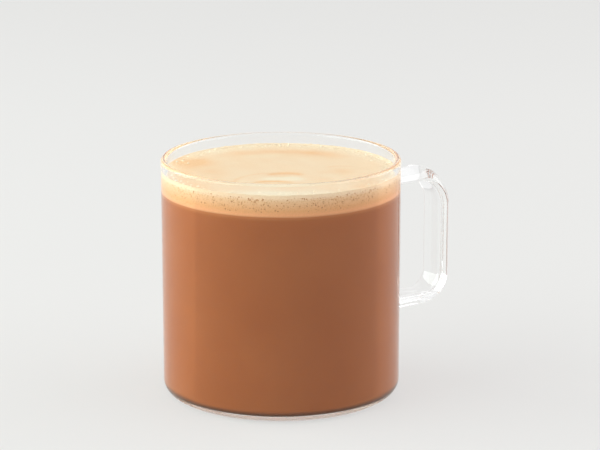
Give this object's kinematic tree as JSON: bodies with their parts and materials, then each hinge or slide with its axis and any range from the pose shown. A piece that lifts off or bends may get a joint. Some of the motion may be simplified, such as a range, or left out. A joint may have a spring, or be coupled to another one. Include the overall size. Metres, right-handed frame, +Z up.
{
  "type": "caffe mocha",
  "caption": "Clear straight-sided glass mug with a flat handle, filled with a smooth brown chocolate coffee drink under a pale layer of fine foam.",
  "frame": {"origin": "centre of the mug's flat underside, on the axis of its round wall", "axes": "+Z up along the mug's axis, +X towards the handle"},
  "size_m": [0.1165, 0.085, 0.085],
  "materials": {
    "clear_glass": "clear and polished",
    "mocha": "smooth opaque liquid",
    "milk_foam": "soft matte foam with fine bubbles"
  },
  "bodies": {
    "root": {"mug": "clear_glass", "drink": "mocha", "foam": "milk_foam"}
  },
  "joints": []
}
